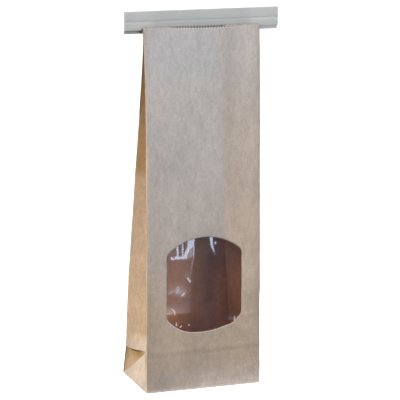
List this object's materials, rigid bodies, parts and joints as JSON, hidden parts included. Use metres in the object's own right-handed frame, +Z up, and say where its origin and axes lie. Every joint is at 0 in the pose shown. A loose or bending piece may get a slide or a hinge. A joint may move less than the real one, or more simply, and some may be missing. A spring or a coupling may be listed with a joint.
{
  "type": "paper bag with window",
  "caption": "Tall kraft paper bag with side gussets, a block base, an arched clear window and a wire tie across its pinched mouth.",
  "frame": {"origin": "the middle of the base's underside, on the plane that the bag stands on", "axes": "+Z up towards the mouth, the front panel with the window faces -Y, +X to the right as seen from the front"},
  "size_m": [0.1048, 0.052, 0.2518],
  "materials": {
    "kraft_paper": "brown kraft paper, matt, with faint fibres and creases",
    "clear_film": "clear glossy plastic film, slightly wrinkled",
    "tie_strip": "light grey coated strip with a soft sheen",
    "tie_backing": "greyish brown paper, matt"
  },
  "bodies": {
    "root": {"paper_bag": "kraft_paper", "window_film": "clear_film", "tin_tie": "tie_strip", "tin_tie_backing": "tie_backing"}
  },
  "joints": []
}
